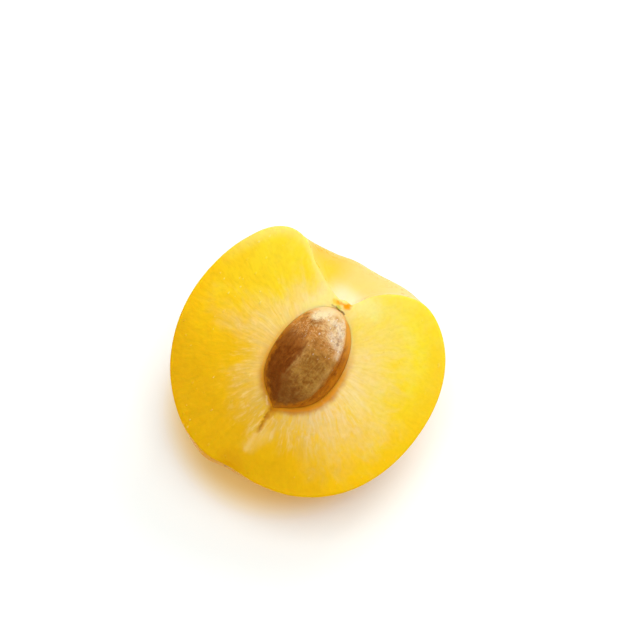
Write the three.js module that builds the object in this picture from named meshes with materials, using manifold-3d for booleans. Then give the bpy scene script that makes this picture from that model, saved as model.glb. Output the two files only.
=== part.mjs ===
// Half of a yellow plum, cut along its seam, with the whole stone left in its hollow.
//
// The fruit's own frame: the cut face is the plane Z = 0 and faces +Z, +Y runs along the core
// towards the stalk end, and +X runs across the face towards the larger lobe. The middle of the
// stone is the origin. The finished half lies on its cheek: it is turned and leant into the row
// frame (+Z up), and the spot that it rests on is the row frame's origin.

import * as THREE from "three";
import { mergeVertices } from "three/addons/utils/BufferGeometryUtils.js";
import Module from "manifold-3d";

// ---------------------------------------------------------------- driving dimensions, mm and deg
const FRUIT_WIDTH = 45.4;
const STONE_LENGTH = 19.7;
const STONE_WIDTH = 12.6;
const STONE_THICKNESS = 8.8;

const TURN = 34.8; // how far the stalk end is turned towards +X, seen from above
const LEAN = 17; // how far the cut face leans out of level, towards -Y
const REST_FLAT_DEPTH = 0.45; // how much of the cheek the rest spot flattens

// ---------------------------------------------------------------- the fruit's form
// Meridians of the fruit: [degrees from the stalk end, radius as a share of half the width].
// Each starts at the bottom of the stalk cavity, climbs over the shoulder and ends at the tip.
const HALF_WIDTH = FRUIT_WIDTH / 2;
const LARGE_LOBE = [
  [0, 0.506], [5, 0.54], [10, 0.655], [15, 0.758], [22, 0.872], [30, 0.968], [40, 1.017],
  [56, 1.036], [88, 1.006], [104, 1.008], [132, 1.03], [150, 1.026], [165, 1.006], [180, 0.99],
];
const SMALL_LOBE = [
  [0, 0.506], [11, 0.531], [20, 0.598], [27, 0.69], [31, 0.772], [34.2, 0.886], [38, 0.962],
  [43, 1.014], [50, 1.038], [62, 1.027], [80, 1.008], [96, 1.006], [113, 1.014], [127, 1.028],
  [142, 1.044], [156, 1.058], [168, 1.05], [180, 0.99],
];
const CHEEK = [
  [0, 0.506], [6, 0.53], [12, 0.64], [18, 0.805], [24, 0.93], [30, 0.985], [38, 1.01],
  [50, 1.0], [70, 0.96], [90, 0.94], [110, 0.943], [130, 0.97], [150, 0.997], [166, 1.003],
  [180, 0.99],
];
const LOBE_GATHER = 3; // the higher, the sooner the lobes give way to the cheek behind the cut
// The shoulder stands fullest between the large lobe and the cheek.
const SHOULDER_SWELL = { height: 0.85, fromStalk: 28, fromStalkSpread: 15, round: 48, roundSpread: 30 };

// The seam is a shallow valley in the plane of the cut, deepest near the tip of the small lobe.
const SEAM_HALF_WIDTH = 1.9;
const LARGE_LOBE_SEAM = [[0, 0], [40, 0.1], [120, 0.15], [180, 0.3]];
const SMALL_LOBE_SEAM = [[0, 0], [40, 0.1], [120, 0.15], [150, 0.35], [168, 0.7], [180, 0.3]];

// The stalk left a low round scar at the bottom of its cavity.
const SCAR_RADIUS = 1.3;
const SCAR_HEIGHT = 0.55;

const FRUIT_RINGS = 46;
const FRUIT_SECTORS = 88;
const CAVITY_ANGLE = 46; // the rings are twice as close inside the stalk cavity as outside it

// ---------------------------------------------------------------- the stone's form
// The stone's section is a rounded polygon: each row is [degrees of the flat's outward direction
// from +X towards +Z, distance from the axis as a share of half the stone's width].
const STONE_FLATS = [
  [12, 1.06], [70, 0.68], [133, 0.74], [180, 1.06], [-133, 0.74], [-70, 0.68], [-12, 1.06],
];
const FLAT_SHARPNESS = 9;
// The keel faces the large lobe, with a groove and a ridge on either side of it, and a furrow
// runs down the stone's back. Angles are in the section, heights in mm.
const STONE_RELIEF = [
  { angle: 0, spread: 5, height: 0.3 },
  { angle: 12, spread: 6, height: -0.24 },
  { angle: 25, spread: 6, height: 0.24 },
  { angle: 180, spread: 8, height: -0.22 },
];
const STONE_SHIFT = -0.35; // the stone sits this far towards the small lobe
const STONE_TURN = 1.5; // and its stalk end is turned towards it
const TIP_SLIMNESS = 0.9; // the end away from the stalk narrows to a point
const TIP_SLIM_POWER = 6;
const STONE_RINGS = 32;
const STONE_SECTORS = 52;

// ---------------------------------------------------------------- the hollow that holds the stone
const HOLLOW_CLEARANCE = 0.35;
const KEEL_SIDE_GAP = 1.5; // the flesh has drawn back this much more beside the keel's tip end
const CRACK_LENGTH = 4.7; // the flesh is split beyond the stone's tip
const CRACK_WIDTH = 0.9;
const CRACK_TURN = 9; // towards the larger lobe
const HOLLOW_RINGS = 26;
const HOLLOW_SECTORS = 48;

// ---------------------------------------------------------------- helpers
const wasm = await Module();
wasm.setup();

const radians = THREE.MathUtils.degToRad;
const bell = (offset, spread) => Math.exp(-((offset / spread) ** 2));

// A smooth curve through [x, y] knots, level at both ends.
function curveThrough(knots) {
  const slope = (i) => {
    if (i === 0 || i === knots.length - 1) return 0;
    return (knots[i + 1][1] - knots[i - 1][1]) / (knots[i + 1][0] - knots[i - 1][0]);
  };
  return (x) => {
    const i = Math.max(0, knots.findLastIndex((knot, k) => knot[0] <= x && k < knots.length - 1));
    const [x0, y0] = knots[i];
    const [x1, y1] = knots[i + 1];
    const span = x1 - x0;
    const t = THREE.MathUtils.clamp((x - x0) / span, 0, 1);
    return (
      y0 * (1 + 2 * t) * (1 - t) ** 2 +
      slope(i) * span * t * (1 - t) ** 2 +
      y1 * t ** 2 * (3 - 2 * t) +
      slope(i + 1) * span * t ** 2 * (t - 1)
    );
  };
}

// A closed body from rings of points, with its first and last ring drawn together to one point.
function ringedBody(rings, sectors, pointAt) {
  const positions = [pointAt(0, 0)];
  for (let i = 1; i < rings; i++) {
    for (let j = 0; j < sectors; j++) positions.push(pointAt(i / rings, j / sectors));
  }
  positions.push(pointAt(1, 0));
  const last = positions.length - 1;
  const at = (i, j) => 1 + (i - 1) * sectors + (j % sectors);
  const faces = [];
  for (let j = 0; j < sectors; j++) {
    faces.push(0, at(1, j), at(1, j + 1));
    for (let i = 1; i < rings - 1; i++) {
      faces.push(at(i, j), at(i + 1, j), at(i + 1, j + 1));
      faces.push(at(i, j), at(i + 1, j + 1), at(i, j + 1));
    }
    faces.push(last, at(rings - 1, j + 1), at(rings - 1, j));
  }
  const geometry = new THREE.BufferGeometry().setFromPoints(positions);
  geometry.setIndex(faces);
  return geometry;
}

function solidOf(geometry) {
  const bare = geometry.clone();
  bare.deleteAttribute("normal");
  bare.deleteAttribute("uv");
  const merged = mergeVertices(bare, 1e-4);
  return new wasm.Manifold(
    new wasm.Mesh({
      numProp: 3,
      vertProperties: merged.attributes.position.array,
      triVerts: new Uint32Array(merged.index.array),
    }),
  );
}

function geometryOf(solid) {
  const { vertProperties, triVerts } = solid.getMesh();
  const geometry = new THREE.BufferGeometry();
  geometry.setAttribute("position", new THREE.BufferAttribute(vertProperties, 3));
  geometry.setIndex(new THREE.BufferAttribute(triVerts, 1));
  return geometry;
}

// A block much larger than the fruit, with its top face on the plane Z = 0.
function blockBelow() {
  const side = 4 * FRUIT_WIDTH;
  return new THREE.BoxGeometry(side, side, side).translate(0, 0, -side / 2);
}

// ---------------------------------------------------------------- the whole fruit
const largeLobe = curveThrough(LARGE_LOBE);
const smallLobe = curveThrough(SMALL_LOBE);
const cheek = curveThrough(CHEEK);
const largeLobeSeam = curveThrough(LARGE_LOBE_SEAM);
const smallLobeSeam = curveThrough(SMALL_LOBE_SEAM);

function shoulderSwell(fromStalk, round) {
  const { height, fromStalkSpread, roundSpread } = SHOULDER_SWELL;
  const down = bell(fromStalk - SHOULDER_SWELL.fromStalk, fromStalkSpread);
  const about = bell(THREE.MathUtils.radToDeg(round) - SHOULDER_SWELL.round, roundSpread);
  return height * down * about;
}

// The fruit's surface, by degrees from the stalk end and radians round the core from +X.
function fruitPoint(fromStalk, round) {
  const across = Math.cos(round);
  const lobe = across > 0 ? largeLobe : smallLobe;
  const seam = across > 0 ? largeLobeSeam : smallLobeSeam;
  const lobeShare = Math.abs(across) ** LOBE_GATHER;
  const shape = lobeShare * lobe(fromStalk) + (1 - lobeShare) * cheek(fromStalk);
  const plain = HALF_WIDTH * shape + shoulderSwell(fromStalk, round);
  const direction = new THREE.Vector3(
    Math.sin(radians(fromStalk)) * across,
    Math.cos(radians(fromStalk)),
    -Math.sin(radians(fromStalk)) * Math.sin(round),
  );
  const depth = seam(fromStalk) * bell(plain * direction.z, SEAM_HALF_WIDTH);
  return direction.multiplyScalar(plain - depth);
}

function wholeFruit() {
  const cavityShare = (2 * CAVITY_ANGLE) / (CAVITY_ANGLE + 180);
  const degrees = (u) => {
    if (u < cavityShare) return (u / cavityShare) * CAVITY_ANGLE;
    return CAVITY_ANGLE + ((u - cavityShare) / (1 - cavityShare)) * (180 - CAVITY_ANGLE);
  };
  return ringedBody(FRUIT_RINGS, FRUIT_SECTORS, (u, v) => fruitPoint(degrees(u), 2 * Math.PI * v));
}

function stalkScar() {
  const floor = HALF_WIDTH * LARGE_LOBE[0][1];
  return new THREE.SphereGeometry(SCAR_RADIUS, 20, 12)
    .scale(1, SCAR_HEIGHT / SCAR_RADIUS, 1)
    .translate(0, floor, 0);
}

// ---------------------------------------------------------------- the stone and its hollow
// Distance from the stone's axis to the rounded polygon of its flats, by radians from +X.
function flatsRadius(round) {
  const sum = STONE_FLATS.reduce((total, [angle, distance]) => {
    const facing = Math.cos(round - radians(angle)) / distance;
    return total + Math.max(0, facing) ** FLAT_SHARPNESS;
  }, 0);
  return (STONE_WIDTH / 2) * sum ** (-1 / FLAT_SHARPNESS);
}

function reliefHeight(round) {
  const degrees = Math.abs(THREE.MathUtils.radToDeg(Math.atan2(Math.sin(round), Math.cos(round))));
  return STONE_RELIEF.reduce((sum, r) => sum + r.height * bell(degrees - r.angle, r.spread), 0);
}

// An almond-shaped body along the core. Grow pushes its surface out all round, and keelGap
// widens it beside the keel, more so towards the tip.
function almond(rings, sectors, { grow, keelGap, relief }) {
  const fullThickness = flatsRadius(Math.PI / 2) * 2;
  const thicknessScale = (STONE_THICKNESS / 2 + grow) / (fullThickness / 2 + grow);
  return ringedBody(rings, sectors, (u, v) => {
    const along = Math.cos(Math.PI * u);
    const round = 2 * Math.PI * v;
    const girth = Math.sin(Math.PI * u);
    const slimming = 1 - TIP_SLIMNESS * Math.max(0, -along) ** TIP_SLIM_POWER;
    const bare = girth * slimming * (flatsRadius(round) + relief * reliefHeight(round));
    const surface = bare + grow * Math.sqrt(girth);
    const keelSide = keelGap * girth * Math.max(0, Math.cos(round)) * (1 - along) / 2;
    return new THREE.Vector3(
      surface * Math.cos(round) + keelSide,
      (STONE_LENGTH / 2 + grow) * along,
      -surface * Math.sin(round) * thicknessScale,
    );
  })
    .rotateZ(radians(STONE_TURN))
    .translate(STONE_SHIFT, 0, 0);
}

function stone() {
  return almond(STONE_RINGS, STONE_SECTORS, { grow: 0, keelGap: 0, relief: 1 });
}

function stoneHollow() {
  return almond(HOLLOW_RINGS, HOLLOW_SECTORS, {
    grow: HOLLOW_CLEARANCE,
    keelGap: KEEL_SIDE_GAP,
    relief: 0,
  });
}

function tipCrack() {
  const start = STONE_LENGTH / 2 - 1;
  const length = CRACK_LENGTH + 1;
  return new THREE.ConeGeometry(CRACK_WIDTH / 2, length, 10)
    .rotateZ(Math.PI)
    .translate(0, -length / 2, 0)
    .rotateZ(radians(CRACK_TURN))
    .translate(STONE_SHIFT, -start, 0);
}

// ---------------------------------------------------------------- placing the half in the row
function rowMatrix(geometry) {
  const lean = new THREE.Matrix4().makeRotationFromEuler(
    new THREE.Euler(radians(LEAN), 0, -radians(TURN), "XYZ"),
  );
  const leant = geometry.clone().applyMatrix4(lean).attributes.position;
  const lowest = new THREE.Vector3(0, 0, Infinity);
  for (let i = 0; i < leant.count; i++) {
    if (leant.getZ(i) < lowest.z) lowest.fromBufferAttribute(leant, i);
  }
  const lift = new THREE.Matrix4().makeTranslation(
    -lowest.x,
    -lowest.y,
    -lowest.z - REST_FLAT_DEPTH,
  );
  return lift.multiply(lean);
}

const uncut = wholeFruit();
const toRow = rowMatrix(uncut);
const floorBlock = blockBelow().applyMatrix4(toRow.clone().invert());
const farSide = blockBelow().rotateX(Math.PI);

const fruitHalfSolid = solidOf(uncut)
  .add(solidOf(stalkScar()))
  .subtract(solidOf(farSide))
  .subtract(solidOf(stoneHollow()))
  .subtract(solidOf(tipCrack()))
  .subtract(solidOf(floorBlock));

// ---------------------------------------------------------------- the model
const FLESH = new THREE.MeshStandardMaterial({ color: 0xf2c21e, roughness: 0.35, metalness: 0 });
const SHELL = new THREE.MeshStandardMaterial({ color: 0x8a5a22, roughness: 0.6, metalness: 0 });

function named(name, geometry, material) {
  const mesh = new THREE.Mesh(geometry, material);
  mesh.name = name;
  mesh.geometry.computeVertexNormals();
  return mesh;
}

const plumHalf = new THREE.Group();
plumHalf.add(named("fruit_half", geometryOf(fruitHalfSolid), FLESH));
plumHalf.add(named("stone", stone(), SHELL));
toRow.decompose(plumHalf.position, plumHalf.quaternion, plumHalf.scale);

export default plumHalf;
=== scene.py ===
"""The finished look of half a yellow plum with its stone, lying on its cheek.

Everything is built in metres. The fruit's own frame has the middle of the stone as its origin:
the cut face is the plane z = 0 and faces +z, +y runs along the core to the stalk end, and +x runs
across the face to the larger lobe. fruit_to_row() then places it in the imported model's frame.
Materials read the same frame, in millimetres, from the mesh attribute "place".
"""
import math
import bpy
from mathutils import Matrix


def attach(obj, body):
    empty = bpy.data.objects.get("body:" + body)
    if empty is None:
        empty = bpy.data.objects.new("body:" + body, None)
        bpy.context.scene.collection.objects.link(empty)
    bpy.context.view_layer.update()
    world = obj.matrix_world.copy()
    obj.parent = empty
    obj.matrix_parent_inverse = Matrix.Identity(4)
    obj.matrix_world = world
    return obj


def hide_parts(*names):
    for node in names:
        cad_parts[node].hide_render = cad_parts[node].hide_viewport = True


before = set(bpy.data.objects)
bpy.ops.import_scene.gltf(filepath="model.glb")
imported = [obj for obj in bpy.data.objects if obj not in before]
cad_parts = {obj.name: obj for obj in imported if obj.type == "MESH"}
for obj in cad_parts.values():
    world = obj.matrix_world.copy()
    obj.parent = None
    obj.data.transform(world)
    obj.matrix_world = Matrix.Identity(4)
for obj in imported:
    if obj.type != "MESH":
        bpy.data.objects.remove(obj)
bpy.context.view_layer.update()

from types import SimpleNamespace

import bpy
import numpy as np
from mathutils import Matrix, Vector, noise

MM = 0.001

# ---- driving dimensions
FRUIT_WIDTH = 45.4 * MM
STONE_LENGTH = 19.7 * MM
STONE_WIDTH = 12.6 * MM
STONE_THICKNESS = 8.8 * MM

TURN = math.radians(34.8)  # how far the stalk end is turned towards +X, seen from above
LEAN = math.radians(17)  # how far the cut face leans out of level, towards -Y
STONE_CENTRE = Vector((-0.156, 1.231, 20.882)) * MM  # the fruit frame's origin, in the row frame

# ---- the fruit's form
# Meridians: (degrees from the stalk end, radius as a share of half the width).
HALF_WIDTH = FRUIT_WIDTH / 2
CAVITY_FLOOR = 0.506
LARGE_LOBE = (
    (0, CAVITY_FLOOR), (5, 0.54), (10, 0.655), (15, 0.758), (22, 0.872), (30, 0.968), (40, 1.017),
    (56, 1.036), (88, 1.006), (104, 1.008), (132, 1.03), (150, 1.026), (165, 1.006), (180, 0.99),
)
SMALL_LOBE = (
    (0, CAVITY_FLOOR), (11, 0.531), (20, 0.598), (27, 0.69), (31, 0.772), (34.2, 0.886),
    (38, 0.962), (43, 1.014), (50, 1.038), (62, 1.027), (80, 1.008), (96, 1.006), (113, 1.014),
    (127, 1.028), (142, 1.044), (156, 1.058), (168, 1.05), (180, 0.99),
)
CHEEK = (
    (0, CAVITY_FLOOR), (6, 0.53), (12, 0.64), (18, 0.805), (24, 0.93), (30, 0.985), (38, 1.01),
    (50, 1.0), (70, 0.96), (90, 0.94), (110, 0.943), (130, 0.97), (150, 0.997), (166, 1.003),
    (180, 0.99),
)
LOBE_GATHER = 3
SWELL_HEIGHT = 0.85 * MM
SWELL_FROM_STALK = (28, 15)  # degrees: where it is highest, and how far it spreads
SWELL_ROUND_CORE = (48, 30)

# The seam's depth by degrees from the stalk end, in millimetres.
SEAM_HALF_WIDTH = 1.9 * MM
LARGE_LOBE_SEAM = ((0, 0), (40, 0.1), (120, 0.15), (180, 0.3))
SMALL_LOBE_SEAM = ((0, 0), (40, 0.1), (120, 0.15), (150, 0.35), (168, 0.7), (180, 0.3))

# Under the cut's edge at the tip the skin bulges out past the seam.
TIP_BULGE = 0.55 * MM
TIP_BULGE_DEPTH = (2.1 * MM, 1.5 * MM)  # how far below the cut it is fullest, and how far it spreads
TIP_BULGE_BEARING = (-99, 10)  # degrees in the cut plane: where it is fullest, and its spread

SCAR_RADIUS = 1.3 * MM
SCAR_HEIGHT = 0.55 * MM
SCAR_BLEND = 0.1 * MM
SCAR_REACH = 60  # degrees from the stalk end, beyond which there is no scar
SKIN_INSET = 0.04 * MM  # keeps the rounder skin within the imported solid's box

# ---- the stone's form
# The section is a rounded polygon: (degrees that a flat faces, its distance from the axis as a
# share of half the stone's width).
STONE_FLATS = ((12, 1.06), (70, 0.68), (133, 0.74), (180, 1.06), (-133, 0.74), (-70, 0.68), (-12, 1.06))
FLAT_SHARPNESS = 9
# Keel, groove and ridge beside it, and the back furrow: (degrees in the section, spread, height).
STONE_RELIEF = ((0, 5, 0.3 * MM), (12, 6, -0.24 * MM), (25, 6, 0.24 * MM), (180, 8, -0.22 * MM))
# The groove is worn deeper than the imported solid's, between the keel and the ridge.
WORN_GROOVE = (18, 11, -0.65 * MM)
CREST = 101  # degrees in the section of the crest between the two upper flats
RIDGE = 33  # and of the ridge above the keel's groove
KEEL_BAND = 27  # and of the dark band, partly painted shade, that runs from there to the keel
STONE_SHIFT = -0.35 * MM
STONE_TURN = math.radians(1.5)
TIP_SLIMNESS = 0.9
TIP_SLIM_POWER = 6

# ---- the hollow round the stone
HOLLOW_CLEARANCE = 0.2 * MM
KEEL_SIDE_GAP = 1.5 * MM
HOLLOW_DEPTH = STONE_THICKNESS / 2 + 0.35 * MM
HOLLOW_FULLNESS = 0.8  # under 1 makes the hollow's section fuller than an ellipse
GAP_TRIM = 0.15 * MM  # taken off the hollow's gap at the cut face
LEAST_GAP = 0.1 * MM
# The flesh dips to the stone round the hollow, most where it stands off from the keel.
DIP_CLEARANCE = 0.005 * MM
DIP_LEAST = 0.02 * MM
DIP_STEEPNESS = 0.03
# The flesh has torn off the stone at the stalk end.
FISSURE_BEARING = (93, 7)  # degrees: where it is widest, and its spread
FISSURE_WIDTH = 0.12 * MM
FISSURE_DEPTH = 0.4 * MM

# The core has split beyond the stone's tip, along a slanting line that narrows.
CORE_SPLIT_LENGTH = 4.9 * MM
CORE_SPLIT_HALF_WIDTH = 0.3 * MM
CORE_SPLIT_DEPTH = 0.25 * MM
CORE_SPLIT_TAPER = 0.75  # the share of its width that is lost along it
CORE_SPLIT_CLOSES = 0.75  # and the share of its length where it begins to close
CORE_SPLIT_START = -0.2  # millimetres across the core
CORE_SPLIT_SLANT = 0.35  # and how much further across it ends

# ---- relief on the surfaces
# The cut face has low waves from the knife, cells, and fibres that run out from the core.
WAVE_SIZE = 9 * MM
WAVE_HEIGHT = 0.1 * MM
CELL_SIZE = 0.8 * MM
CELL_HEIGHT = 0.012 * MM
# Fibres: how many to a radian round the core, their length, and their height.
FIBRES = ((18, 9 * MM, 0.02 * MM), (40, 5 * MM, 0.006 * MM))
FIBRE_REACH = 7 * MM  # how far from the stone the fibres are strong
FAINTEST_FIBRES = 0.3  # and their share of that height far from it
FACE_EDGE = 0.9 * MM  # the relief fades out this close to the face's edges
SPLIT_EDGE = 0.4 * MM  # and the split this close to the stone

# The stone has long ridges, lumps that are higher at the stalk end, and grain.
STRETCH = (1, 2.6, 1)
RIDGE_SIZE = 2.4 * MM
LUMP_SIZE = 1.3 * MM
GRAIN_SIZE = 0.42 * MM
RIDGE_HEIGHT = 0.1  # this and the next three are in millimetres
LUMP_HEIGHT = 0.1
STALK_LUMP_HEIGHT = 0.12
GRAIN_HEIGHT = 0.035
HIGHEST_RELIEF = 0.12 * MM
STALK_END = (0.5, 0.15)  # shares of the length, where the stalk end's lumps begin and are full
HELD_BAND = 1.2 * MM  # the relief fades out this close to the cut, where the flesh holds the stone
# What the stone's colours follow: how far each line wanders, in degrees, and how soft it is.
CREST_WANDER = 12
CREST_WANDER_SIZE = 1.2 * MM
CREST_SPREAD = 5
FLANK_BLEND = 13
RIDGE_SPREAD = 3.5
RIDGE_BREAK = 0.4  # the share of the ridge's line that comes and goes
RIDGE_BREAK_SIZE = 0.8 * MM
KEEL_WANDER = 2
KEEL_WANDER_SIZE = 1.8 * MM
KEEL_BLEND = 4

# ---- how finely the pieces are made
FRUIT_SECTORS = 600
HOLLOW_RINGS = 10
DIP_RINGS = 8
FACE_RINGS = 84
RIM_RINGS = 4
SKIN_RINGS = 46
RIM_RADIUS = 0.35 * MM
STONE_RINGS = 200
STONE_SECTORS = 260
OUTLINE_STEPS = 500
FACE_EVENNESS = 0.45  # the share of the face's rings that is spread evenly; the rest crowd its edges
SKIN_CROWDING = 1.35  # over 1 crowds the skin's rings towards the rim
REST_BLEND = 0.05 * MM  # how softly the cheek turns into the flat spot that it rests on
OUT_OF_REACH = 99 * MM  # stands for the skin's distance, inside the hollow


# ---- curves and noise
def curve_through(knots):
    """A smooth curve through (x, y) knots, level at both ends."""
    x, y = np.array(knots, float).T
    slope = np.zeros_like(y)
    slope[1:-1] = (y[2:] - y[:-2]) / (x[2:] - x[:-2])

    def curve(at):
        i = np.clip(np.searchsorted(x, at, side="right") - 1, 0, len(x) - 2)
        span = x[i + 1] - x[i]
        t = np.clip((at - x[i]) / span, 0, 1)
        return (
            y[i] * (1 + 2 * t) * (1 - t) ** 2
            + slope[i] * span * t * (1 - t) ** 2
            + y[i + 1] * t**2 * (3 - 2 * t)
            + slope[i + 1] * span * t**2 * (t - 1)
        )

    return curve


def cos_of(degrees):
    return math.cos(math.radians(degrees))


def bell(at, centre, spread):
    return np.exp(-(((at - centre) / spread) ** 2))


def smooth_step(low, high, at):
    t = np.clip((at - low) / (high - low), 0, 1)
    return t * t * (3 - 2 * t)


SEED_SHIFT = (7.1, 3.7, 5.3)  # how far each next seed moves the noise, in lumps
NOISE_SMOOTHNESS = 0.6
OCTAVE_STEP = 2.0


def noise_over(points, size, seed, octaves):
    """Fractal noise of about -1 to 1, with lumps of the given size, at rows of points."""
    shift = Vector([seed * step for step in SEED_SHIFT])
    places = [Vector(point) + shift for point in points / size]
    return np.array([noise.fractal(p, NOISE_SMOOTHNESS, OCTAVE_STEP, octaves) for p in places])


# ---- the fruit's skin
large_lobe = curve_through(LARGE_LOBE)
small_lobe = curve_through(SMALL_LOBE)
cheek = curve_through(CHEEK)
large_lobe_seam = curve_through(LARGE_LOBE_SEAM)
small_lobe_seam = curve_through(SMALL_LOBE_SEAM)


def skin_distance(directions):
    """How far the skin is from the middle of the stone, along unit directions."""
    x, y, z = np.moveaxis(directions, -1, 0)
    from_stalk = np.degrees(np.arccos(np.clip(y, -1, 1)))
    round_core = np.arctan2(-z, x)
    across = np.cos(round_core)
    on_large = across > 0
    lobe = np.where(on_large, large_lobe(from_stalk), small_lobe(from_stalk))
    seam = np.where(on_large, large_lobe_seam(from_stalk), small_lobe_seam(from_stalk)) * MM
    lobe_share = np.abs(across) ** LOBE_GATHER
    swell = SWELL_HEIGHT * bell(from_stalk, *SWELL_FROM_STALK)
    swell = swell * bell(np.degrees(round_core), *SWELL_ROUND_CORE)
    plain = HALF_WIDTH * (lobe_share * lobe + (1 - lobe_share) * cheek(from_stalk)) + swell
    distance = plain - seam * bell(plain * z, 0, SEAM_HALF_WIDTH)
    bulge = bell(np.degrees(np.arctan2(y, x)), *TIP_BULGE_BEARING)
    distance += TIP_BULGE * bulge * bell(-plain * z, *TIP_BULGE_DEPTH)
    # The low scar rises out of the cavity's floor.
    sideways = distance * np.hypot(x, z) / SCAR_RADIUS
    scar = CAVITY_FLOOR * HALF_WIDTH + SCAR_HEIGHT * np.sqrt(np.clip(1 - sideways**2, 0, 1))
    scar = np.where(from_stalk < SCAR_REACH, scar, 0)
    return np.logaddexp(distance / SCAR_BLEND, scar / SCAR_BLEND) * SCAR_BLEND - SKIN_INSET


# ---- the stone's surface
def flats_radius(round_axis):
    """Distance from the stone's axis to the rounded polygon of its flats."""
    total = np.zeros_like(round_axis)
    for angle, distance in STONE_FLATS:
        towards_flat = np.cos(round_axis - math.radians(angle)) / distance
        total = total + np.clip(towards_flat, 0, None) ** FLAT_SHARPNESS
    return STONE_WIDTH / 2 * total ** (-1 / FLAT_SHARPNESS)


def relief_height(round_axis):
    degrees = np.abs(np.degrees(np.arctan2(np.sin(round_axis), np.cos(round_axis))))
    return sum(height * bell(degrees, angle, spread) for angle, spread, height in STONE_RELIEF)


def almond(share_along, round_axis, grow=0.0, keel_gap=0.0, relief=1.0, extra=0.0):
    """Points of the stone's surface, or of a shape round it when it is grown."""
    along = np.cos(math.pi * share_along)
    girth = np.sin(math.pi * share_along)
    slimming = 1 - TIP_SLIMNESS * np.clip(-along, 0, None) ** TIP_SLIM_POWER
    radius = flats_radius(round_axis) + relief * relief_height(round_axis) + extra
    surface = girth * slimming * radius + grow * np.sqrt(girth)
    keel_side = keel_gap * girth * np.clip(np.cos(round_axis), 0, None) * (1 - along) / 2
    widest = float(flats_radius(np.array(math.pi / 2)))
    flattening = (STONE_THICKNESS / 2 + grow) / (widest + grow)
    x = surface * np.cos(round_axis) + keel_side
    y = (STONE_LENGTH / 2 + grow) * along
    z = surface * np.sin(round_axis) * flattening
    turn = np.array(Matrix.Rotation(STONE_TURN, 3, "Z"))
    return np.stack([x, y, z], axis=-1) @ turn.T + [STONE_SHIFT, 0, 0]


def outline_distance(grow, keel_gap, relief, bearings):
    """How far a grown stone's outline in the cut plane is from the middle, by bearing."""
    share = np.linspace(0, 1, OUTLINE_STEPS)
    sides = [almond(share, np.full_like(share, side), grow, keel_gap, relief) for side in (0, math.pi)]
    x, y, _ = np.concatenate(sides).T
    at = np.arctan2(y, x)
    order = np.argsort(at)
    return np.interp(bearings, at[order], np.hypot(x, y)[order], period=2 * math.pi)


# ---- meshes
def new_object(name, data):
    thing = bpy.data.objects.new(name, data)
    bpy.context.scene.collection.objects.link(thing)
    return thing


def fruit_to_row():
    turned = Matrix.Rotation(LEAN, 4, "X") @ Matrix.Rotation(-TURN, 4, "Z")
    return Matrix.Translation(STONE_CENTRE) @ turned


def ringed_mesh(name, first_pole, rings, last_pole, attributes):
    """A closed mesh from equal rings of points between two poles, placed in the row frame."""
    count, sectors = len(rings), len(rings[0])
    places = np.concatenate([[first_pole], np.concatenate(rings), [last_pole]])
    neighbours = list(enumerate(np.roll(np.arange(sectors), -1).tolist()))
    faces = [(0, 1 + j, 1 + k) for j, k in neighbours]
    for i in range(count - 1):
        near, far = 1 + i * sectors, 1 + (i + 1) * sectors
        faces.extend((near + j, far + j, far + k, near + k) for j, k in neighbours)
    last = len(places) - 1
    faces.extend((last, last - sectors + k, last - sectors + j) for j, k in neighbours)
    matrix = np.array(fruit_to_row())
    in_row = places @ matrix[:3, :3].T + matrix[:3, 3]
    # What would reach below the surface that the half lies on is pressed flat.
    in_row[:, 2] = REST_BLEND * np.logaddexp(0, in_row[:, 2] / REST_BLEND)
    mesh = bpy.data.meshes.new(name)
    mesh.from_pydata(in_row.tolist(), [], faces)
    place = mesh.attributes.new("place", "FLOAT_VECTOR", "POINT")
    place.data.foreach_set("vector", (places / MM).ravel())
    for attribute, values in attributes.items():
        layer = mesh.attributes.new(attribute, "FLOAT", "POINT")
        layer.data.foreach_set("value", values)
    mesh.polygons.foreach_set("use_smooth", [True] * len(mesh.polygons))
    return new_object(name, mesh)


def at_bearings(bearings, distance, height):
    """Points at a distance from the core and a height over the cut plane, by bearing."""
    x, y = distance * np.cos(bearings), distance * np.sin(bearings)
    return np.stack([x, y, height + 0 * bearings], axis=-1)


def bearing_directions(bearings, down):
    """Unit directions at bearings in the cut plane, turned down from it by an angle."""
    return at_bearings(bearings, np.cos(down), -np.sin(down))


def face_relief(points, from_stone, from_skin):
    """The cut face's own relief: knife waves, radial fibres, cells, and the split at the core."""
    radius = np.hypot(points[:, 0], points[:, 1])
    bearing = points[:, :2] / radius[:, None]
    waves = noise_over(points, WAVE_SIZE, 1, 2) * WAVE_HEIGHT
    fibres = np.zeros_like(radius)
    for seed, (round_core, length, height) in enumerate(FIBRES, start=2):
        streaks = np.column_stack([bearing * round_core, radius / length])
        fibres += noise_over(streaks, 1, seed, 2) * height
    fibres *= FAINTEST_FIBRES + (1 - FAINTEST_FIBRES) * bell(from_stone, 0, FIBRE_REACH)
    cells = noise_over(points, CELL_SIZE, 4, 2) * CELL_HEIGHT
    inset = smooth_step(0, FACE_EDGE, from_stone) * smooth_step(0, FACE_EDGE, from_skin)
    beyond_tip = -points[:, 1] - STONE_LENGTH / 2
    share = np.clip(beyond_tip / CORE_SPLIT_LENGTH, 0, 1)
    half_width = CORE_SPLIT_HALF_WIDTH * (1 - CORE_SPLIT_TAPER * share)
    centre_line = (CORE_SPLIT_START + CORE_SPLIT_SLANT * share) * MM
    split = CORE_SPLIT_DEPTH * bell(points[:, 0], centre_line, half_width)
    split *= smooth_step(1, CORE_SPLIT_CLOSES, share) * smooth_step(-MM, 0, beyond_tip)
    return (waves + fibres + cells) * inset - split * smooth_step(0, SPLIT_EDGE, from_stone)


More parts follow.
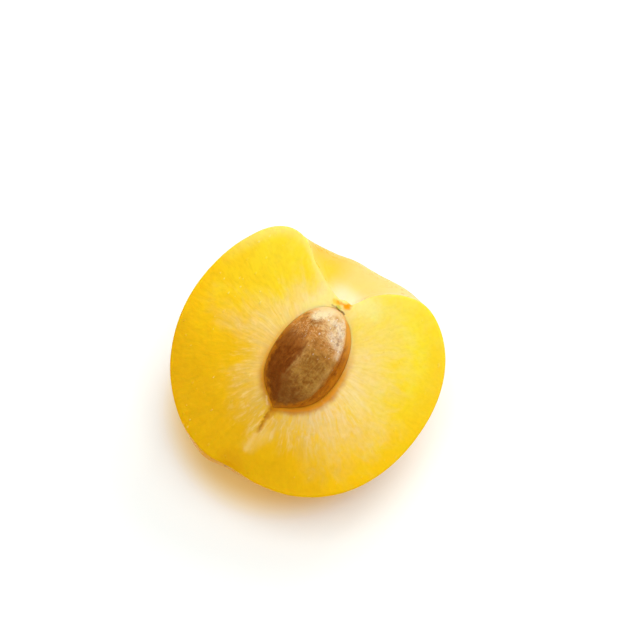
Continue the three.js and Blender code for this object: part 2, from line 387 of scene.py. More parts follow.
def fruit_half():
    """The half fruit: hollow, cut face, rounded rim and skin, as one closed surface."""
    bearings = np.linspace(0, 2 * math.pi, FRUIT_SECTORS, endpoint=False)
    stone_edge = outline_distance(0, 0, 1, bearings)
    hollow_edge = outline_distance(HOLLOW_CLEARANCE, KEEL_SIDE_GAP, 0, bearings)
    fissure = bell(np.degrees(bearings), *FISSURE_BEARING)
    gap = np.clip(hollow_edge - stone_edge - GAP_TRIM, LEAST_GAP, None) + FISSURE_WIDTH * fissure
    skin_edge = skin_distance(bearing_directions(bearings, 0.0))
    rings, from_stone, from_skin = [], [], []

    def add_ring(points, to_stone, to_skin):
        rings.append(points)
        from_stone.append(to_stone + 0 * bearings)
        from_skin.append(to_skin + 0 * bearings)

    # The hollow, from its floor up to the dip.
    dip = DIP_LEAST + DIP_STEEPNESS * gap + FISSURE_DEPTH * fissure
    for climb in np.linspace(math.pi / 2, 0, HOLLOW_RINGS + 1)[1:-1]:
        down = dip + (HOLLOW_DEPTH - dip) * math.sin(climb)
        reach = (stone_edge + DIP_CLEARANCE) * math.cos(climb) ** HOLLOW_FULLNESS
        add_ring(at_bearings(bearings, reach, -down), -gap - down, OUT_OF_REACH)

    # The dip, from the stone up to the cut face.
    for step in np.linspace(1, 0, DIP_RINGS):
        reach = stone_edge + DIP_CLEARANCE + gap * (1 - step)
        down = dip * (1 - math.cos(math.pi * step)) / 2
        add_ring(at_bearings(bearings, reach, -down), -gap * step, OUT_OF_REACH)

    # The cut face, from the dip to the rim.
    inner = stone_edge + DIP_CLEARANCE + gap
    across = skin_edge - RIM_RADIUS - inner
    for step in np.linspace(0, 1, FACE_RINGS + 1)[1:]:
        crowded = (1 - math.cos(math.pi * step)) / 2
        share = FACE_EVENNESS * step + (1 - FACE_EVENNESS) * crowded
        points = at_bearings(bearings, inner + across * share, 0.0)
        to_skin = across * (1 - share) + RIM_RADIUS
        points[:, 2] += face_relief(points, across * share, to_skin)
        add_ring(points, across * share, to_skin)

    # The rim, rounded over into the skin.
    for step in np.linspace(0, 1, RIM_RINGS + 2)[1:-1]:
        over = step * math.pi / 2
        reach = skin_edge - RIM_RADIUS * (1 - math.sin(over))
        points = at_bearings(bearings, reach, -RIM_RADIUS * (1 - math.cos(over)))
        add_ring(points, across, RIM_RADIUS * (1 - step))

    # The skin, down to the middle of the cheek.
    rim_down = RIM_RADIUS / HALF_WIDTH
    for step in np.linspace(0, 1, SKIN_RINGS + 1)[:-1]:
        down = rim_down + (math.pi / 2 - rim_down) * step**SKIN_CROWDING
        directions = bearing_directions(bearings, down)
        add_ring(directions * skin_distance(directions)[:, None], across, 0.0)

    straight_down = np.array([[0.0, 0.0, -1.0]])
    pole = straight_down[0] * skin_distance(straight_down)[0]
    hollow_floor = np.array([STONE_SHIFT, 0, -HOLLOW_DEPTH])
    fields = {
        "from_stone": np.concatenate([[-HOLLOW_DEPTH], *from_stone, [np.max(across)]]) / MM,
        "from_skin": np.concatenate([[OUT_OF_REACH], *from_skin, [0]]) / MM,
    }
    piece = ringed_mesh("plum_half", hollow_floor, rings, pole, fields)
    on_skin = np.arange(len(piece.data.polygons)) >= FRUIT_SECTORS * (len(rings) - SKIN_RINGS)
    piece.data.polygons.foreach_set("material_index", on_skin.astype(int))
    return piece


def stone():
    """The stone, with long ridges, pits and grain raised from its surface."""
    share = np.linspace(0, 1, STONE_RINGS + 1)[1:-1]
    round_axis = np.linspace(0, -2 * math.pi, STONE_SECTORS, endpoint=False)
    shares, rounds = [grid.ravel() for grid in np.meshgrid(share, round_axis, indexing="ij")]
    plain = almond(shares, rounds)
    stretched = plain / STRETCH
    ridges = 1 - 2 * np.abs(noise_over(stretched, RIDGE_SIZE, 5, 2))
    lumps = noise_over(plain, LUMP_SIZE, 6, 3)
    grain = noise_over(plain, GRAIN_SIZE, 7, 2)
    lump_height = LUMP_HEIGHT + STALK_LUMP_HEIGHT * smooth_step(*STALK_END, shares)
    relief = (RIDGE_HEIGHT * ridges + lump_height * lumps + GRAIN_HEIGHT * grain) * MM
    free = smooth_step(0, HELD_BAND, np.abs(plain[:, 2]))
    relief = np.minimum(relief, HIGHEST_RELIEF) * free
    degrees = np.abs(np.degrees(np.arctan2(np.sin(rounds), np.cos(rounds))))
    centre, spread, depth = WORN_GROOVE
    groove = depth * bell(degrees, centre, spread) * free
    points = almond(shares, rounds, extra=relief + groove)
    tips = [almond(np.array([end]), np.array([0.0]))[0] for end in (0.0, 1.0)]

    # What the colours follow.
    from_crest = degrees - (CREST + CREST_WANDER * noise_over(stretched, CREST_WANDER_SIZE, 8, 4))
    broken = 1 - RIDGE_BREAK + RIDGE_BREAK * noise_over(stretched, RIDGE_BREAK_SIZE, 10, 2)
    from_keel = degrees - KEEL_BAND + KEEL_WANDER * noise_over(stretched, KEEL_WANDER_SIZE, 9, 3)
    outline = outline_distance(0, 0, 1, np.arctan2(plain[:, 1], plain[:, 0]))
    fields = {
        "height": relief / MM,
        # The flank beyond the crest faces away from the light; its dark colour is partly painted shade.
        "flank": smooth_step(-FLANK_BLEND, FLANK_BLEND, from_crest),
        "keel": smooth_step(KEEL_BLEND, -KEEL_BLEND, from_keel),
        "ridge": bell(degrees, RIDGE, RIDGE_SPREAD) * broken,
        "crest_line": bell(from_crest, 0, CREST_SPREAD),
        "inset": (outline - np.hypot(plain[:, 0], plain[:, 1])) / MM,
    }
    at_tip = {"flank": 1, "keel": 1}
    for name in fields:
        fields[name] = np.concatenate([[0], fields[name], [at_tip.get(name, 0)]])
    rings = list(points.reshape(len(share), STONE_SECTORS, 3))
    return ringed_mesh("plum_stone", tips[0], rings, tips[1], fields)


# ---- building shader nodes
NOISE_MIDDLE = (0.3, 0.7)  # where most of a noise's values lie
ALONG_Y = (0, 1, 0)
IN_FACE = (1, 1, 0)


class Value:
    """An output of a shader node, which adds, subtracts, multiplies and divides like a number."""

    def __init__(self, node, key=0):
        self.node = node
        self.key = key

    def __getitem__(self, key):
        """Another output of the same node."""
        return Value(self.node, key)

    def __add__(self, other):
        return math_of("ADD", self, other)

    def __sub__(self, other):
        return math_of("SUBTRACT", self, other)

    def __mul__(self, other):
        return math_of("MULTIPLY", self, other)

    def __truediv__(self, other):
        return math_of("DIVIDE", self, other)

    def link_to(self, socket):
        self.node.id_data.links.new(self.node.outputs[self.key], socket)


def add(kind, inputs=None, tree=None, **settings):
    """A new node with its settings and inputs; its tree can be left out if one input is a value."""
    inputs = inputs or {}
    if tree is None:
        tree = next(value.node.id_data for value in inputs.values() if isinstance(value, Value))
    node = tree.nodes.new("ShaderNode" + kind)
    for key, setting in settings.items():
        setattr(node, key, setting)
    for key, value in inputs.items():
        if isinstance(value, Value):
            value.link_to(node.inputs[key])
        else:
            node.inputs[key].default_value = value
    return Value(node)


def spaced(inputs):
    """Input names as the nodes have them, with spaces for underscores."""
    return {key.replace("_", " "): value for key, value in inputs.items()}


def math_of(operation, first, second=0.0, clamp=False):
    return add("Math", {0: first, 1: second}, operation=operation, use_clamp=clamp)


def vector_of(operation, first, second=(0, 0, 0)):
    return add("VectorMath", {0: first, 1: second}, operation=operation)["Vector"]


def vector_scaled(vector, factor):
    return add("VectorMath", {0: vector, "Scale": factor}, operation="SCALE")["Vector"]


def dot_of(first, second):
    return vector_of("DOT_PRODUCT", first, second)["Value"]


def axes_of(vector):
    return add("SeparateXYZ", {"Vector": vector})


def range_of(value, low, high, to_low=0.0, to_high=1.0, kind="LINEAR"):
    limits = {"From Min": low, "From Max": high, "To Min": to_low, "To Max": to_high}
    return add("MapRange", {"Value": value, **limits}, interpolation_type=kind)


def step_of(value, low, high):
    """0 below low and 1 above high, smoothly; the other way round if high is below low."""
    if isinstance(low, float) and high < low:
        return range_of(value, high, low, 1.0, 0.0, "SMOOTHSTEP")
    return range_of(value, low, high, kind="SMOOTHSTEP")


def uneven(noise_value, least, most):
    """A value that wanders with a noise between two limits."""
    return range_of(noise_value, *NOISE_MIDDLE, least, most)


def noise_of(place, frequency, detail=2.0, roughness=0.5, distortion=0.0):
    inputs = {"Scale": frequency, "Detail": detail, "Roughness": roughness, "Distortion": distortion}
    return add("TexNoise", {"Vector": place, **inputs})["Fac"]


def wobble_of(place, frequency):
    """A noisy vector round nought, to push places about with."""
    return vector_of("SUBTRACT", noise_of(place, frequency)["Color"], (0.5, 0.5, 0.5))


def bump_of(height, distance, normal=None):
    """A bump from a height of 0 to 1, standing for a real height in metres."""
    inputs = {"Height": height, "Strength": 1.0, "Distance": distance}
    if normal is not None:
        inputs["Normal"] = normal
    return add("Bump", inputs)["Normal"]


def srgb(red, green, blue):
    """A linear colour from 0-255 screen values."""
    channels = [c / 255 for c in (red, green, blue)]
    linear = [c / 12.92 if c <= 0.04045 else ((c + 0.055) / 1.055) ** 2.4 for c in channels]
    return (*linear, 1.0)


def colour_mix(share, first, second, blend="MIX"):
    return add("Mix", {0: share, 6: first, 7: second}, data_type="RGBA", blend_type=blend)[2]


def layered(colour, *layers):
    """A colour with others laid over it in turn: (how much of it shows, the other colour)."""
    for share, other in layers:
        colour = colour_mix(share, colour, other)
    return colour


def shade(colour, brightness):
    """A colour made darker or lighter by a value round 1."""
    grey = add("CombineColor", {0: brightness, 1: brightness, 2: brightness})
    return colour_mix(1.0, colour, grey, "MULTIPLY")


def place_of(tree):
    return add("Attribute", tree=tree, attribute_name="place")["Vector"]


def values_of(tree, *names):
    """The mesh's own values, by name."""
    return {name: add("Attribute", tree=tree, attribute_name=name)["Fac"] for name in names}


# ---- shared effects
SHORTEST = 1e-6  # keeps a spot's length, squared, above nought


def new_group(name, **inputs):
    """An empty shader group and its inputs: a number is an input's usual value, None is a vector."""
    tree = bpy.data.node_groups.new(name, "ShaderNodeTree")
    for label, default in spaced(inputs).items():
        kind = "NodeSocketVector" if default is None else "NodeSocketFloat"
        socket = tree.interface.new_socket(label, in_out="INPUT", socket_type=kind)
        if default is not None:
            socket.default_value = default
    return tree, Value(tree.nodes.new("NodeGroupInput"))


def finish_group(tree, **results):
    for label in results:
        tree.interface.new_socket(label, in_out="OUTPUT", socket_type="NodeSocketFloat")
    output = tree.nodes.new("NodeGroupOutput")
    for label, value in results.items():
        value.link_to(output.inputs[label])
    return tree


def place_group(group, **inputs):
    return add("Group", spaced(inputs), node_tree=group)


def mottle_group():
    """Cloudy unevenness at three sizes, from patches down to cells."""
    tree, given = new_group("mottle", Place=None, Patch_Size=6.0, Cell_Size=0.4)
    patch = math_of("DIVIDE", 1.0, given["Patch Size"])
    cell = math_of("DIVIDE", 1.0, given["Cell Size"])
    return finish_group(
        tree,
        Patches=noise_of(given["Place"], patch, 3.0),
        Clouds=noise_of(given["Place"], math_of("SQRT", patch * cell), 3.0, 0.6),
        Cells=noise_of(given["Place"], cell, 2.0, 0.55),
    )


def flecks_group():
    """Small scattered dots with ragged edges, of uneven size; Share sets how many there are."""
    tree, given = new_group("flecks", Place=None, Spacing=1.5, Size=0.2, Share=0.5)
    frequency = math_of("DIVIDE", 1.0, given["Spacing"])
    cells = add("TexVoronoi", {"Vector": given["Place"], "Scale": frequency}, feature="F1")
    draw = add("SeparateColor", {"Color": cells["Color"]})
    ragged = noise_of(given["Place"], frequency * 6.0, 1.0)
    size = given["Size"] * (draw["Red"] + 0.4) * (ragged + 0.5)
    distance = cells["Distance"] * given["Spacing"]
    inside = math_of("SUBTRACT", 1.0, distance / size, clamp=True)
    soft = math_of("MULTIPLY", inside, 2.5, clamp=True)
    return finish_group(tree, Dots=soft * math_of("LESS_THAN", draw["Green"], given["Share"]))


def smudge_group():
    """A mark along a straight line from Start to End, or a spot where they are one place."""
    tree, given = new_group(
        "smudge", Place=None, Start=None, End=None, Half_Width=0.3, Softness=0.2, Raggedness=0.2
    )
    push = vector_scaled(wobble_of(given["Place"], 2.2), given["Raggedness"])
    along = vector_of("SUBTRACT", given["End"], given["Start"])
    offset = vector_of("SUBTRACT", vector_of("ADD", given["Place"], push), given["Start"])
    length = math_of("MAXIMUM", dot_of(along, along), SHORTEST)
    share = math_of("DIVIDE", dot_of(offset, along), length, clamp=True)
    distance = vector_of("DISTANCE", offset, vector_scaled(along, share))["Value"]
    edge = given["Half Width"] + given["Softness"]
    return finish_group(tree, Mark=range_of(distance, given["Half Width"], edge, 1.0, 0.0, "SMOOTHSTEP"))


MOTTLE = mottle_group()
FLECKS = flecks_group()
SMUDGE = smudge_group()


def smudged(colour, place, raggedness, *marks):
    """A colour with marks laid over it: (colour, strength, start, end, half width, softness)."""
    for mark_colour, strength, start, end, half_width, softness in marks:
        smudge = place_group(
            SMUDGE, Place=place, Start=start, End=end,
            Half_Width=half_width, Softness=softness, Raggedness=raggedness,
        )
        colour = colour_mix(smudge["Mark"] * strength, colour, mark_colour)
    return colour


def new_material(name):
    material = bpy.data.materials.new(name)
    material.use_nodes = True
    material.node_tree.nodes.clear()
    return material, material.node_tree


def surfaced(material, **inputs):
    """A material ended with a Principled shader: its values joined, its constants set."""
    shader = add("BsdfPrincipled", spaced(inputs), tree=material.node_tree)
    add("OutputMaterial", {"Surface": shader})
    return material


# ---- colours
# The deepest flesh colour, at the tip, is partly painted shade.
FLESH_RIPE_AND_SHADED = srgb(229, 180, 0)
FLESH_GOLD = srgb(248, 202, 8)
FLESH_YELLOW = srgb(251, 215, 34)
FLESH_SUNNY = srgb(252, 224, 50)
FLESH_LEMON = srgb(252, 234, 146)
FLESH_CREAM = srgb(250, 222, 158)
FLESH_SHADED_CREAM = srgb(216, 186, 118)
FLESH_AMBER = srgb(200, 128, 14)
FLESH_BROWN = srgb(158, 90, 8)
STRAND_BROWN = srgb(196, 122, 0)
STRAND_DARK = srgb(150, 80, 0)
STALK_ORANGE = srgb(250, 168, 0)
STALK_GREEN = srgb(206, 204, 84)
SKIN_YELLOW = srgb(244, 176, 0)
SKIN_AMBER = srgb(238, 158, 0)
SKIN_PALE_DOTS_AND_HIGHLIGHT = srgb(246, 213, 128)
SKIN_PAINTED_HIGHLIGHT = srgb(250, 233, 188)
SKIN_CAVITY = srgb(249, 205, 0)
SKIN_GOLD = srgb(247, 186, 0)
SKIN_BLOOM = srgb(250, 230, 170)
TIP_BROWN = srgb(120, 84, 10)
SKIN_TIP = srgb(218, 146, 0)
TIP_GOLD = srgb(214, 152, 0)
STONE_DARK = srgb(118, 58, 8)
STONE_RED = srgb(152, 88, 28)
STONE_BROWN = srgb(140, 86, 24)
STONE_OLIVE = srgb(172, 124, 52)
STONE_TAN = srgb(208, 160, 88)
STONE_WARM = srgb(204, 138, 66)
STONE_CREAM = srgb(240, 210, 154)
STONE_PALE = srgb(242, 232, 214)
STONE_WHITE = srgb(252, 236, 192)
RECESS_SHADE = srgb(98, 50, 6)
STONE_AMBER = srgb(190, 108, 12)
STONE_SOAKED = srgb(196, 120, 20)
STONE_ORANGE = srgb(230, 158, 56)

# ---- marks, in millimetres
# Raggedness, then (colour, strength, start, end, half width, softness) of each mark.
STALK_STAINS = (
    0.7,
    (FLESH_GOLD, 0.7, (-1.9, 10.8, 0), (-1.2, 10.9, 0), 0.1, 0.6),
    (STALK_GREEN, 0.9, (-0.85, 10.4, 0), (-0.45, 10.25, 0), 0.1, 0.35),
    (STALK_ORANGE, 0.95, (0.3, 11.1, 0), (0.5, 11.3, 0), 0.15, 0.7),
    (STALK_ORANGE, 0.8, (-1.4, 11.0, 0), (0.3, 11.3, 0), 0.0, 0.45),
    (STALK_ORANGE, 0.75, (0.5, 11.3, 0), (0.85, 12.0, 0), 0.0, 0.45),
)
PALE_CORE = (
    2.0,
    (FLESH_LEMON, 0.75, (-4.5, 7.5, 0), (-1.5, 11.0, 0), 0.3, 2.6),
    (FLESH_LEMON, 0.8, (-1.5, 12.0, 0), (4.0, 13.2, 0), 0.3, 3.0),
    (FLESH_LEMON, 0.35, (-9.0, 17.0, 0), (-2.5, 12.0, 0), 0.3, 3.2),
    (FLESH_LEMON, 0.5, (-2.6, 12.5, 0), (-4.4, 16.6, 0), 0.3, 1.8),
)
CORE_STRAND = (
    0.5,
    (FLESH_CREAM, 0.26, (-0.1, -15.4, 0), (0.15, -18.2, 0), 0.0, 0.75),
    (FLESH_CREAM, 0.18, (1.4, -14.2, 0), (0.4, -17.4, 0), 0.2, 1.6),
    (FLESH_CREAM, 0.5, (-2.1, -8.9, 0), (-1.25, -9.9, 0), 0.0, 0.3),
    (STRAND_BROWN, 0.44, (0.25, -9.4, 0), (-0.1, -11.5, 0), 0.36, 0.55),
    (STRAND_BROWN, 0.5, (-0.1, -11.5, 0), (0.1, -14.3, 0), 0.16, 0.45),
    (STRAND_DARK, 0.4, (-0.35, -10.4, 0), (-0.35, -12.0, 0), 0.0, 0.25),
    (STRAND_DARK, 0.36, (-0.2, -12.7, 0), (0.05, -14.0, 0), 0.04, 0.3),
)
# The torn edge at the stalk end: painted shade in the narrow gap between flesh and stone.
TORN_EDGE_SHADE = (
    0.35,
    (RECESS_SHADE, 0.5, (-1.8, 10.05, 0), (-1.2, 10.15, 0), 0.0, 0.25),
    (RECESS_SHADE, 0.9, (-1.0, 10.1, 0), (0.75, 9.95, 0), 0.0, 0.24),
)
GOLDEN_TIP = (
    1.2,
    (TIP_GOLD, 0.35, (-1.6, -21.0, 0), (1.4, -21.6, 0), 0.2, 2.4),
    (TIP_GOLD, 0.25, (-1.2, -21.4, 0), (-0.6, -20.8, 0), 0.2, 2.4),
)
SKIN_BY_TIP = (0.5, (SKIN_TIP, 0.7, (-9.0, -19.5, -1.2), (0.8, -22.2, -1.2), 0.8, 2.6))
FLOWER_DOTS = (
    0.3,
    (TIP_BROWN, 0.85, (-0.7, -22.1, -0.7), (-0.7, -22.1, -0.7), 0.12, 0.3),
    (TIP_BROWN, 0.85, (-1.2, -22.3, -1.1), (-1.2, -22.3, -1.1), 0.12, 0.3),
)
# Dried flesh at the stalk end; the pale and white marks are partly painted glare.
STONE_CRUST_AND_GLARE = (
    1.3,
    (STONE_PALE, 0.55, (1.6, 7.4, 0), (2.6, 6.2, 0), 0.0, 1.0),
    (STONE_PALE, 0.4, (1.2, 5.6, 0), (2.8, 4.6, 0), 0.0, 1.2),
    (STONE_PALE, 0.3, (3.4, 5.6, 0), (4.0, 3.0, 0), 0.0, 0.7),
    (STONE_WHITE, 0.85, (-2.9, 6.9, 0), (-1.5, 8.8, 0), 0.3, 1.0),
    (STONE_PALE, 0.45, (0.2, 7.6, 0), (1.4, 8.6, 0), 0.0, 1.0),
    (STONE_TAN, 0.75, (0.1, 8.9, 0), (0.9, 8.7, 0), 0.2, 0.6),
    (STONE_BROWN, 0.6, (-2.6, 5.6, 0), (-1.9, 6.0, 0), 0.1, 1.0),
)


# ---- flesh
# Ripeness of the flesh, with painted shade in the darker colours towards the tip, by millimetres towards
# the stalk end: from, to, colour.
RIPENESS_AND_SHADE_STEPS = ((-17.0, -5.0, FLESH_GOLD), (-5.0, 6.0, FLESH_YELLOW), (6.0, 16.0, FLESH_SUNNY))

# What changes round the cut face: a base value, and swells of (degrees, spread, amount).
DEEP_RIM = (0.0, (0, 65, 0.6))
PALE_RIM = (0.0, (128, 40, 0.5))
CREAM_REACH = (8.5, (12, 92, 7.5), (85, 40, 3.0), (190, 36, 5.0), (207, 16, -6.5), (15, 26, -4.0))
CREAM_AMOUNT = (0.32, (-5, 75, 0.5), (112, 45, 0.5), (183, 50, 0.3), (238, 28, 0.2), (-70, 45, 0.22))
FIBRE_CONTRAST = (0.3, (-62, 75, 1.5))
THREAD_STRENGTH = (0.15, (-66, 75, 0.25), (190, 50, 0.1))
STREAK_CONTRAST = (0.1, (200, 85, 0.2))
FLECK_STRENGTH = (0.12, (190, 90, 0.3))
JUICE_AND_SHADE_STRENGTH = (0.1, (-60, 130, 0.85))

# How flesh and skin glow and shine.
FRUIT_SURFACE = dict(
    Subsurface_Radius=(1.0, 0.6, 0.15), Subsurface_Scale=1.0 * MM, Specular_IOR_Level=0.08,
    Coat_Roughness=0.12, Coat_IOR=1.4,
)


def by_bearing(flesh, base, *swells):
    """A value that swells from its base within a spread of given bearings round the cut face."""
    value = base
    for degrees, spread, amount in swells:
        way = (cos_of(degrees), cos_of(90 - degrees), 0)
        near = step_of(dot_of(flesh.bearing, way), cos_of(spread), 1.0)
        value = near * amount + value
    return value


def flesh_fields(tree):
    """What the flesh's colours go by: where a point is, how far it has ripened, with painted shade, and
    its streaks.
    """
    place = place_of(tree)
    axes = axes_of(place)
    mottle = place_group(MOTTLE, Place=place, Patch_Size=8.0, Cell_Size=0.7)
    # Riper and darker towards the small lobe and the tip, more lemon towards the stalk: partly the
    # flesh's own colour, partly painted shade away from the light.
    ripeness_and_shade = axes["Y"] + axes["X"] * 0.25
    ripeness_and_shade = ripeness_and_shade + uneven(mottle["Patches"], -2.5, 2.5) + uneven(mottle["Clouds"], -1.2, 1.2)
    bearing = vector_of("NORMALIZE", vector_of("MULTIPLY", place, IN_FACE))
    radius = vector_of("LENGTH", place)["Value"]
    outward = add("CombineXYZ", {"Z": radius * 0.12})
    wander = vector_scaled(wobble_of(vector_scaled(place, 0.22), 1.0), 0.22)
    wandering = vector_of("ADD", bearing, wander)
    straighter = vector_of("ADD", bearing, vector_scaled(wander, 0.45))

    def streaks(course, round_core, along, *settings):
        """Noise drawn out from the core: so many streaks round it, so often broken along."""
        way = vector_of("ADD", vector_scaled(course, round_core), vector_scaled(outward, along))
        return noise_of(way, 1.0, *settings)

    return SimpleNamespace(
        place=place, y=axes["Y"], bearing=bearing, ripeness_and_shade=ripeness_and_shade,
        patches=mottle["Patches"], clouds=mottle["Clouds"], cells=mottle["Cells"],
        lobes=streaks(wandering, 3.5, 1.0),
        tufts=streaks(wandering, 9.0, 2.2, 3.0, 0.55, 0.3),
        fibres=streaks(straighter, 24.0, 4.0, 3.0, 0.6, 0.15),
        **values_of(tree, "from_stone", "from_skin"),
    )


def ripe_and_shaded_colour(flesh):
    """Ripe gold at the tip to lemon yellow at the stalk, darker towards the tip partly as painted shade,
    deeper or paler along parts of the rim.
    """
    ripe_and_shaded = [(range_of(flesh.ripeness_and_shade, start, end), step_colour) for start, end, step_colour in RIPENESS_AND_SHADE_STEPS]
    sunny = ripe_and_shaded[-1][0]
    deep = step_of(flesh.from_skin, 5.0, 1.5) * by_bearing(flesh, *DEEP_RIM)
    pale = step_of(flesh.from_skin, 2.6, 0.3) * by_bearing(flesh, *PALE_RIM)
    return layered(
        FLESH_RIPE_AND_SHADED,
        *ripe_and_shaded,
        (range_of(flesh.clouds, 0.42, 0.72, 0.0, 0.18) * sunny, FLESH_LEMON),
        (deep, FLESH_GOLD),
        (pale, FLESH_LEMON),
    )


def creamed(flesh, colour):
    """A colour with the cream flesh round the stone laid over it, drawn out into fibres."""
    reach = by_bearing(flesh, *CREAM_REACH)
    reach = reach * uneven(flesh.lobes, 0.78, 1.22) * uneven(flesh.tufts, 0.84, 1.16)
    swing = (flesh.fibres - 0.5) * by_bearing(flesh, *FIBRE_CONTRAST)
    swing = swing + (flesh.tufts - 0.5) * 1.1 + 1.0
    by_strand = place_group(
        SMUDGE, Place=flesh.place, Start=(0.0, -9.9, 0), End=(0.0, -12.0, 0),
        Half_Width=0.6, Softness=2.0, Raggedness=0.8,
    )
    amount = by_bearing(flesh, *CREAM_AMOUNT) * swing
    amount = amount * range_of(by_strand["Mark"], 0.0, 1.0, 1.0, 0.45)
    # The cream is duller and darker towards the tip: painted shade.
    cream = colour_mix(range_of(flesh.ripeness_and_shade, -15.0, 3.0), FLESH_SHADED_CREAM, FLESH_CREAM)

    # Fine threads, and deeper gaps between them.
    strength = step_of(flesh.from_stone, 9.0, 3.5) * step_of(flesh.from_stone, 0.6, 1.8)
    strength = strength * by_bearing(flesh, *THREAD_STRENGTH)
    gaps = step_of(flesh.fibres, 0.5, 0.36) * step_of(flesh.tufts, 0.6, 0.42)
    threads = step_of(flesh.fibres, 0.46, 0.64) * step_of(flesh.tufts, 0.36, 0.58)
    return layered(
        colour,
        (step_of(flesh.from_stone / reach, 1.0, 0.0) * amount, cream),
        (gaps * strength, FLESH_GOLD),
        (threads * strength, FLESH_CREAM),
    )


def juicy_and_shaded(flesh, colour):
    """A colour with amber juice and painted shade where the flesh touches the stone, least at the stalk
    end.
    """
    edge = flesh.from_stone + uneven(flesh.clouds, -0.25, 0.25)
    strength = by_bearing(flesh, *JUICE_AND_SHADE_STRENGTH)
    held = colour_mix(step_of(flesh.y, 1.0, 7.5), STALK_ORANGE, FLESH_CREAM)
    return layered(
        colour,
        # Amber, then brown at the stone's edge: partly juice, partly painted shade in the gap beside the
        # stone.
        (step_of(edge, 1.35, -0.1) * strength, FLESH_AMBER),
        (step_of(edge, 0.15, -1.0) * strength, FLESH_BROWN),
        (step_of(flesh.from_stone, 0.45, 0.0) * 0.4, held),
    )


def flesh_material():
    """Wet, translucent flesh: yellow at the skin, cream fibres inside, amber at the stone."""
    material, tree = new_material("plum_flesh")
    flesh = flesh_fields(tree)
    colour = creamed(flesh, ripe_and_shaded_colour(flesh))
    colour = smudged(colour, flesh.place, *PALE_CORE)

    # Soft cells and streaks, and small pale flecks that are partly painted wet glints.
    streaks = (flesh.fibres - 0.5) * by_bearing(flesh, *STREAK_CONTRAST)
    colour = shade(colour, uneven(flesh.cells, 0.97, 1.02) + streaks)
    leaning = vector_of("MULTIPLY", flesh.place, (1.0, 0.55, 1.0))
    flecks = place_group(FLECKS, Place=leaning, Spacing=0.9, Size=0.15, Share=0.4)["Dots"]
    paler = step_of(flesh.patches, 0.42, 0.58) * by_bearing(flesh, *FLECK_STRENGTH)
    colour = colour_mix(flecks * paler, colour, FLESH_LEMON)

    # Juice and painted shade at the stone, the strand at the core, the stalk's stains, painted shade in
    # the torn edge there, and the seam's tip.
    colour = juicy_and_shaded(flesh, colour)
    for marks in (CORE_STRAND, STALK_STAINS, TORN_EDGE_SHADE, GOLDEN_TIP):
        colour = smudged(colour, flesh.place, *marks)
    # The skin's cut edge is a thin deeper line.
    colour = colour_mix(step_of(flesh.from_skin, 0.4, 0.05) * 0.35, colour, SKIN_YELLOW)

    normal = bump_of(flesh.fibres + flesh.cells * 0.5, 0.045 * MM)
    return surfaced(
        material, Base_Color=colour, Roughness=uneven(flesh.clouds, 0.36, 0.5),
        Normal=bump_of(flecks, 0.04 * MM, normal), Coat_Weight=flecks * 0.3,
        Subsurface_Weight=0.85, IOR=1.36, **FRUIT_SURFACE,
    )


# ---- skin
# How far round from the stalk end the cavity's gold and its pale middle, a painted highlight, reach, as
# cosines.
GOLD_FULL = cos_of(30)
GOLD_END = cos_of(56)
PALE_FULL = cos_of(18)
PALE_END = cos_of(39)


def skin_material():
    """Thin, smooth, glossy skin with pale dots, lighter in the stalk cavity where a highlight is
    painted.
    """
    material, tree = new_material("plum_skin")
    place = place_of(tree)
    axes = axes_of(place)
    x, y, z = axes["X"], axes["Y"], axes["Z"]
    mottle = place_group(MOTTLE, Place=place, Patch_Size=14.0, Cell_Size=0.6)
    patches, clouds = mottle["Patches"], mottle["Clouds"]

    # Gold in the cavity, a pale painted highlight that is palest at its floor, and a clear yellow on its
    # wall under the small lobe.
    to_stalk = dot_of(vector_of("NORMALIZE", place), ALONG_Y) + uneven(clouds, -0.02, 0.02)
    gold = step_of(to_stalk, GOLD_END, GOLD_FULL) * 0.85
    # The cavity's pale middle is a painted highlight, paler towards the large lobe.
    pale = step_of(to_stalk, PALE_END, PALE_FULL) * range_of(x, -5.0, -1.5, 0.4, 0.85)
    colour = layered(
        SKIN_AMBER,
        (range_of(patches, 0.32, 0.68), SKIN_YELLOW),
        (uneven(clouds, 0.0, 0.4), SKIN_YELLOW),
        (gold, SKIN_GOLD),
        (pale, SKIN_PALE_DOTS_AND_HIGHLIGHT),
        (pale * step_of(y, 15.5, 12.5), SKIN_PAINTED_HIGHLIGHT),
        (gold * step_of(x, -1.5, -6.0) * step_of(z, -7.0, -0.5), SKIN_CAVITY),
    )
    colour = smudged(colour, place, *STALK_STAINS)
    colour = smudged(colour, place, *SKIN_BY_TIP)

    # Pale dots, the dry dots left by the flower at the tip, and a faint bloom.
    dots = place_group(FLECKS, Place=place, Spacing=1.7, Size=0.2, Share=0.7)["Dots"]
    colour = colour_mix(dots * 0.3, colour, SKIN_PALE_DOTS_AND_HIGHLIGHT)
    colour = smudged(colour, place, *FLOWER_DOTS)
    colour = colour_mix(range_of(patches, 0.5, 0.75, 0.0, 0.07), colour, SKIN_BLOOM)

    # Glossy round the cheek, duller at the stalk end and the tip.
    coat = step_of(y, 16.0, 8.0) * step_of(y, -22.0, -17.0) * 0.45
    normal = bump_of(dots + mottle["Cells"] * 0.5, 0.01 * MM)
    return surfaced(
        material, Base_Color=colour, Roughness=uneven(clouds, 0.22, 0.36),
        Normal=bump_of(clouds, 0.06 * MM, normal), Coat_Weight=coat,
        Subsurface_Weight=0.5, IOR=1.42, **FRUIT_SURFACE,
    )


